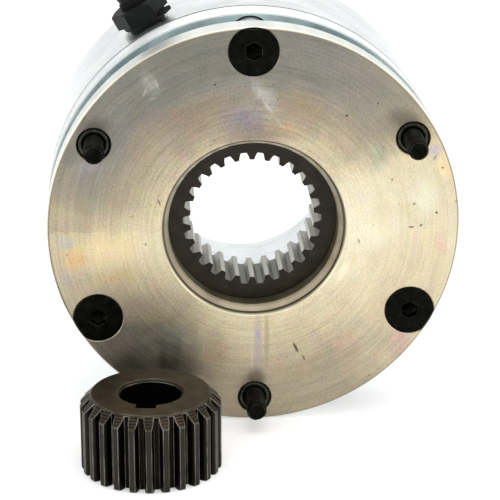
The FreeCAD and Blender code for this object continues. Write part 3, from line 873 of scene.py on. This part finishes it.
# Thin extruded insulation: glossier than the sheath.
CORE_BLACK = Moulded(
    "black core insulation", 0.35, "#101112", "#17181a", cloud_mm=3.0, grain_mm=0.4, specular=0.4
)
# Glass-filled nylon: dark grey, slightly cloudy.
BOBBIN_NYLON = Moulded("glass-filled nylon", 0.5, "#26272a", "#313236", cloud_mm=3.0, grain_mm=0.4)
# Cast resin: smooth and glossy, nearly black.
RESIN = Moulded("cast resin", 0.3, "#1b1c1e", "#27282b", cloud_mm=4.0, grain_mm=0.8)

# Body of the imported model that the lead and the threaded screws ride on.
BRAKE_BODY = "brake"


def clear_selection() -> None:
    """Deselect every object, because operators act on all that is selected."""
    bpy.ops.object.select_all(action="DESELECT")


@dataclass
class Lead:
    """Two-core lead: its route from the gland, and the coil of the length that isn't shown."""

    diameter: float = 6.0 * MM
    length: float = 0.464
    gland_angle: float = 119.3
    gland_y: float = 32.6 * MM
    start_radius: float = 52.0 * MM
    bend_radius_from_axis: float = 59.6 * MM
    route_mm: tuple[Triple, ...] = (
        (-36.7, 33.2, 57.8),
        (-53.5, 34.2, 61.0),
        (-72.8, 36.8, 50.7),
        (-80.3, 41.0, 30.0),
        (-80.3, 47.0, 2.0),
        (-79.8, 50.0, -27.0),
        (-79.0, 30.0, -48.0),
        (-79.0, 6.0, -48.0),
    )
    coil_radius: float = 36.0 * MM
    coil_turns: float = 1.4
    points_per_turn: int = 16

    def points(self) -> list[Vector]:
        """Points of the lead: out of the gland, down to the floor and round the coil.

        Returns:
            The control points in metres.
        """
        angle = math.radians(self.gland_angle)
        out = Vector((math.cos(angle), 0.0, math.sin(angle)))
        seat = Vector((0.0, self.gland_y, 0.0))
        made = [seat + out * self.start_radius, seat + out * self.bend_radius_from_axis]
        made += [Vector(point) * MM for point in self.route_mm]
        centre = made[-1] - Vector((self.coil_radius, 0.0, 0.0))
        step = 2 * math.pi / self.points_per_turn
        last = round(self.coil_turns * self.points_per_turn)
        turns = [((k - 0.5) * step, math.cos(step / 2)) for k in range(1, last)]
        turns.append((self.coil_turns * 2 * math.pi, 1.0))
        for turned, inset in turns:
            radius = (self.coil_radius - turned / (2 * math.pi) * self.diameter) / inset
            made.append(centre + Vector((radius * math.cos(turned), -radius * math.sin(turned), 0.0)))
        return made

    def build(self) -> Piece:
        """Returns:
            The lead.
        """
        curve = bpy.data.curves.new("lead", "CURVE")
        curve.dimensions = "3D"
        curve.bevel_depth = 1.0
        curve.bevel_resolution = 6
        curve.use_fill_caps = True
        spline = curve.splines.new("NURBS")
        points = self.points()
        spline.points.add(len(points) - 1)
        for slot, point in zip(spline.points, points):
            slot.co = (*point, 1.0)
            # The thickness is the points' radius, because a curve's box reaches that far round its points.
            slot.radius = self.diameter / 2
        spline.order_u = 3
        spline.use_endpoint_u = True
        spline.resolution_u = 10
        piece = bpy.data.objects.new("lead", curve)
        bpy.context.scene.collection.objects.link(piece)
        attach(piece, BRAKE_BODY)
        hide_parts("cable", "cable_coil")
        SHEATH.put_on(piece)
        return piece


@dataclass
class MountingScrews:
    """Three cap screws: threaded tips that stand out of the face, knurled socket heads behind."""

    angles_deg: Triple = (30.0, 150.0, 270.0)
    standoffs: Triple = (0.0, 2.0 * MM, 1.0 * MM)
    tip_y: float = -10.7 * MM
    crest_radius: float = 2.5 * MM
    root_radius: float = 2.02 * MM
    tip_radius: float = 1.9 * MM
    pitch: float = 0.8 * MM
    crest_span: tuple[float, float] = (0.42, 0.58)
    thread_turns: int = 17
    thread_steps: int = 28
    core_overlap: float = 0.01 * MM
    core_sides: int = 32
    swell_length: float = 0.2 * MM
    tip_inset: float = 0.25 * MM
    shank_radius: float = 2.25 * MM
    seat_y: float = 57.0 * MM
    head_radius: float = 4.25 * MM
    head_height: float = 5.0 * MM
    head_bevel: float = 0.4 * MM
    knurls: int = 36
    knurl_depth: float = 0.035
    knurl_runout: float = 0.15 * MM
    socket_flats: float = 4.0 * MM
    socket_depth: float = 2.5 * MM
    smooth_deg: float = 35.0
    tolerance: float = 0.01 * MM

    def thread(self) -> Piece:
        """Wind the thread's ridge from the tip, and chamfer its start.

        Returns:
            The ridge as a closed helical bar.
        """
        crest_start, crest_end = self.crest_span
        profile = (
            (self.root_radius, 0.0),
            (self.crest_radius, crest_start * self.pitch),
            (self.crest_radius, crest_end * self.pitch),
            (self.root_radius, self.pitch),
        )
        corners = len(profile)
        clear_selection()
        bpy.ops.mesh.primitive_circle_add(
            vertices=corners, radius=self.pitch, fill_type="NOTHING", location=(0, 0, 0)
        )
        piece = bpy.context.object
        for vertex, (radius, along) in zip(piece.data.vertices, profile):
            vertex.co = (radius, self.tip_y + along, 0.0)
        wind = piece.modifiers.new("wind", "SCREW")
        wind.axis = "Y"
        wind.screw_offset = self.pitch
        wind.iterations = self.thread_turns
        wind.steps = self.thread_steps
        wind.render_steps = self.thread_steps
        bpy.ops.object.modifier_apply(modifier=wind.name)
        for first in (0, len(piece.data.vertices) - corners):
            bpy.ops.object.mode_set(mode="EDIT")
            bpy.ops.mesh.select_all(action="DESELECT")
            bpy.ops.object.mode_set(mode="OBJECT")
            for vertex in piece.data.vertices[first : first + corners]:
                vertex.select = True
            bpy.ops.object.mode_set(mode="EDIT")
            bpy.ops.mesh.edge_face_add()
            bpy.ops.object.mode_set(mode="OBJECT")
        bpy.ops.object.mode_set(mode="EDIT")
        bpy.ops.mesh.select_all(action="SELECT")
        bpy.ops.mesh.normals_make_consistent(inside=False)
        bpy.ops.object.mode_set(mode="OBJECT")
        for vertex in piece.data.vertices:
            radius = math.hypot(vertex.co.x, vertex.co.z)
            allowed = self.tip_radius + (vertex.co.y - self.tip_y)
            if radius > allowed:
                vertex.co.x *= allowed / radius
                vertex.co.z *= allowed / radius
        return piece

    def bar(self, sides: int, radius: float, start: float, length: float) -> Piece:
        """Add a bar along Y that later steps shape.

        Args:
            sides: How many flats it has.
            radius: Radius of its corners.
            start: Where along Y it begins.
            length: How long it is.

        Returns:
            The bar, with its place in its mesh.
        """
        clear_selection()
        bpy.ops.mesh.primitive_cylinder_add(
            vertices=sides,
            radius=radius,
            depth=length,
            location=(0, start + length / 2, 0),
            rotation=(math.radians(90), 0, 0),
        )
        bpy.ops.object.transform_apply(location=True, rotation=True, scale=True)
        return bpy.context.object

    def shank(self) -> Piece:
        """Draw the core under the thread and the plain shank out of one bar.

        Returns:
            The bar from the tip to the head's seat.
        """
        core_radius = self.root_radius + self.core_overlap
        thread_end = self.tip_y + self.thread_turns * self.pitch
        piece = self.bar(self.core_sides, core_radius, self.tip_y, thread_end - self.tip_y)
        self.select_faces(piece, thread_end)
        bpy.ops.mesh.extrude_region_move(TRANSFORM_OT_translate={"value": (0, self.swell_length, 0)})
        swell = self.shank_radius / core_radius
        bpy.ops.transform.resize(value=(swell, 1, swell), center_override=(0, thread_end, 0))
        rest = self.seat_y - thread_end
        bpy.ops.mesh.extrude_region_move(TRANSFORM_OT_translate={"value": (0, rest, 0)})
        bpy.ops.object.mode_set(mode="OBJECT")
        self.select_faces(piece, self.tip_y)
        bpy.ops.mesh.inset(thickness=self.tip_inset)
        bpy.ops.object.mode_set(mode="OBJECT")
        return piece

    def head(self) -> Piece:
        """Knurl the head, chamfer its top and sink the hexagon socket.

        Returns:
            The head on its seat.
        """
        straight = self.head_height - self.head_bevel
        knurl_end = self.seat_y + straight
        top = self.seat_y + self.head_height
        piece = self.bar(2 * self.knurls, self.head_radius, self.seat_y, straight)
        self.select_faces(piece, knurl_end)
        for rise in (self.knurl_runout, self.head_bevel - self.knurl_runout):
            bpy.ops.mesh.extrude_region_move(TRANSFORM_OT_translate={"value": (0, rise, 0)})
        shrink = (self.head_radius - self.head_bevel) / self.head_radius
        bpy.ops.transform.resize(value=(shrink, 1, shrink), center_override=(0, top, 0))
        bpy.ops.object.mode_set(mode="OBJECT")
        for vertex in piece.data.vertices:
            step = math.degrees(math.atan2(vertex.co.z, vertex.co.x)) * self.knurls / 180
            if round(step) % 2 and vertex.co.y < knurl_end + self.tolerance:
                vertex.co.x *= 1 - self.knurl_depth
                vertex.co.z *= 1 - self.knurl_depth
        socket_radius = self.socket_flats / math.sqrt(3)
        cutter = self.bar(6, socket_radius, top - self.socket_depth, 2 * self.socket_depth)
        sink = piece.modifiers.new("socket", "BOOLEAN")
        sink.operation = "DIFFERENCE"
        sink.object = cutter
        bpy.context.view_layer.objects.active = piece
        bpy.ops.object.modifier_apply(modifier=sink.name)
        bpy.data.objects.remove(cutter)
        return piece

    def select_faces(self, piece: Piece, level: float) -> None:
        """Go into edit mode with only the end faces at one place along the axis selected.

        Args:
            piece: The bar, with its axis along Y.
            level: Where along Y the faces lie.
        """
        bpy.context.view_layer.objects.active = piece
        bpy.ops.object.mode_set(mode="EDIT")
        bpy.ops.mesh.select_mode(type="FACE")
        bpy.ops.mesh.select_all(action="DESELECT")
        bpy.ops.object.mode_set(mode="OBJECT")
        for polygon in piece.data.polygons:
            at_level = abs(polygon.center.y - level) < self.tolerance
            polygon.select = at_level and abs(polygon.normal.y) > 0.9
        bpy.ops.object.mode_set(mode="EDIT")

    def build(self) -> Piece:
        """Model one screw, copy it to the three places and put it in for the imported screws.

        Returns:
            The three screws as one piece.
        """
        first = self.joined([self.thread(), self.shank(), self.head()])
        bpy.ops.object.transform_apply(location=True, rotation=True, scale=True)
        screws = []
        for angle, standoff in zip(self.angles_deg, self.standoffs):
            copy = first.copy()
            copy.data = first.data.copy()
            turn = Matrix.Rotation(-math.radians(angle), 4, "Y")
            copy.data.transform(turn @ Matrix.Translation((BOLT_CIRCLE_RADIUS, standoff, 0.0)))
            bpy.context.scene.collection.objects.link(copy)
            screws.append(copy)
        bpy.data.objects.remove(first)
        piece = self.joined(screws)
        piece.name = "threaded_mounting_screws"
        bpy.ops.object.shade_smooth_by_angle(angle=math.radians(self.smooth_deg))
        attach(piece, BRAKE_BODY)
        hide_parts("mounting_screws")
        BLACK_OXIDE.put_on(piece)
        return piece

    def joined(self, parts: list[Piece]) -> Piece:
        """Join objects into the first of them.

        Args:
            parts: The objects.

        Returns:
            The first, with the others in it.
        """
        clear_selection()
        for part in parts:
            part.select_set(True)
        bpy.context.view_layer.objects.active = parts[0]
        bpy.ops.object.join()
        return bpy.context.object


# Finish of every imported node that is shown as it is.
NODE_FINISHES = {
    "friction_flange": PLATED_FACE,
    "countersunk_screws": BLACK_OXIDE,
    "spacer_sleeves": PLATED_TUBE,
    "rotor_carrier": PHOSPHATED_ROTOR,
    "front_lining": LINING,
    "rear_lining": LINING,
    "armature_plate": ARMATURE_STEEL,
    "magnet_housing": PLATED_BODY,
    "coil_bobbin": BOBBIN_NYLON,
    "coil_winding": COPPER,
    "coil_potting": RESIN,
    "pressure_springs": SPRING_STEEL,
    "adjusting_sleeves": SLEEVE_STEEL,
    "gland_body": NYLON,
    "gland_nut": NYLON,
    "gland_grommet": RUBBER,
    "cable_cores": CORE_BLACK,
    "core_ferrules": TINNED,
    "splined_hub": PHOSPHATED_HUB,
}


@dataclass
class Dressing:
    """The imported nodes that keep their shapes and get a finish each."""

    finishes: dict[str, Finish] = field(default_factory=NODE_FINISHES.copy)

    def build(self) -> None:
        """Put each finish on its node."""
        for name, finish in self.finishes.items():
            finish.put_on(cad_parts[name])
            log.info("dressed %s", name)


@dataclass(frozen=True)
class SoftBox:
    """Square lamp that looks at the middle of the brake."""

    name: str
    place: Triple
    size: float
    power: float

    def build(self) -> None:
        """Hang the lamp and turn it to the brake."""
        data = bpy.data.lights.new(self.name, "AREA")
        data.size = self.size
        data.energy = self.power
        made = bpy.data.objects.new(self.name, data)
        turn = (-Vector(self.place)).to_track_quat("-Z", "Y").to_matrix().to_4x4()
        made.matrix_world = Matrix.Translation(self.place) @ turn
        bpy.context.scene.collection.objects.link(made)


@dataclass
class Studio:
    """White studio: floor, world, lamps and the photograph's camera."""

    focal_pixels: float = 2242.7
    frame_pixels: int = 500
    sensor_mm: float = 36.0
    near_clip: float = 0.01
    camera_place: Triple = (-33.78 * MM, -521.44 * MM, 181.39 * MM)
    camera_yaw: float = 3.591
    camera_pitch: float = 19.680
    camera_roll: float = -0.138
    world_light: float = 0.8
    world_white: float = 1.0
    floor_size: float = 6.0
    floor_grey: float = 0.84
    floor_glow: float = 0.34
    lamps: tuple[SoftBox, ...] = (
        SoftBox("top soft box", (0.1, 0.1, 0.8), 0.8, 4.0),
        SoftBox("left soft box", (-0.7, -0.25, 0.25), 0.4, 1.2),
        SoftBox("right soft box", (0.7, -0.3, 0.3), 0.4, 1.5),
    )

    def camera(self) -> None:
        """Place the camera where the photograph was taken."""
        angles = (self.camera_yaw, self.camera_pitch, self.camera_roll)
        yaw, pitch, roll = (math.radians(angle) for angle in angles)
        forward = Vector((math.sin(yaw) * math.cos(pitch), math.cos(yaw) * math.cos(pitch), -math.sin(pitch)))
        level = Vector((math.cos(yaw), -math.sin(yaw), 0.0))
        upright = level.cross(forward)
        right = level * math.cos(roll) + upright * math.sin(roll)
        up = upright * math.cos(roll) - level * math.sin(roll)
        data = bpy.data.cameras.new("camera")
        data.sensor_width = self.sensor_mm
        data.lens = self.focal_pixels / self.frame_pixels * self.sensor_mm
        data.clip_start = self.near_clip
        made = bpy.data.objects.new("camera", data)
        turn = Matrix((right, up, -forward)).transposed().to_4x4()
        made.matrix_world = Matrix.Translation(self.camera_place) @ turn
        bpy.context.scene.collection.objects.link(made)
        bpy.context.scene.camera = made

    def looking_rays(self, tree: Tree) -> Socket:
        """One for rays of the camera, of reflections and through glass, and zero for plain light.

        Args:
            tree: The node tree of the world or the floor.

        Returns:
            The value.
        """
        rays = add_node(tree, "LightPath").outputs
        found = rays["Is Camera Ray"]
        for kind in ("Is Glossy Ray", "Is Transmission Ray"):
            found = add_node(tree, "Math", "MAXIMUM", _0=found, _1=rays[kind]).outputs["Value"]
        return found

    def world(self) -> None:
        """White to the camera and in reflections, plain light elsewhere."""
        world = bpy.data.worlds.new("studio white")
        world.use_nodes = True
        tree = world.node_tree
        tree.nodes.clear()
        plain = add_node(tree, "Background", Color=WHITE, Strength=self.world_light)
        white = add_node(tree, "Background", Color=WHITE, Strength=self.world_white)
        mixed = add_node(
            tree,
            "MixShader",
            _0=self.looking_rays(tree),
            _1=plain.outputs["Background"],
            _2=white.outputs["Background"],
        )
        add_node(tree, "OutputWorld", Surface=mixed.outputs["Shader"])
        bpy.context.scene.world = world

    def floor(self) -> None:
        """Plain pale floor under the brake's rim and the hub."""
        clear_selection()
        bpy.ops.mesh.primitive_plane_add(size=self.floor_size, location=(0.0, 0.0, FLOOR_HEIGHT))
        piece = bpy.context.object
        piece.name = "floor"
        made = bpy.data.materials.new("pale studio floor")
        made.use_nodes = True
        tree = made.node_tree
        tree.nodes.clear()
        lift = add_node(tree, "Math", "MULTIPLY", _0=self.looking_rays(tree), _1=self.floor_glow)
        matt = add_node(tree, "BsdfDiffuse", Color=(*(self.floor_grey,) * 3, 1.0))
        glow = add_node(tree, "Emission", Color=WHITE, Strength=lift.outputs["Value"])
        both = add_node(tree, "AddShader", _0=matt.outputs["BSDF"], _1=glow.outputs["Emission"])
        add_node(tree, "OutputMaterial", Surface=both.outputs["Shader"])
        piece.data.materials.append(made)

    def build(self) -> None:
        """Set the whole studio."""
        self.camera()
        self.world()
        self.floor()
        for lamp in self.lamps:
            lamp.build()
        bpy.context.scene.view_settings.view_transform = "Standard"


def main() -> None:
    """Build the studio, the lead and every dressed piece."""
    logging.basicConfig(level=logging.INFO, format="%(message)s")
    Studio().build()
    log.info("studio set")
    Lead().build()
    log.info("lead laid")
    MountingScrews().build()
    log.info("mounting screws cut")
    Dressing().build()


if __name__ == "__main__":
    main()
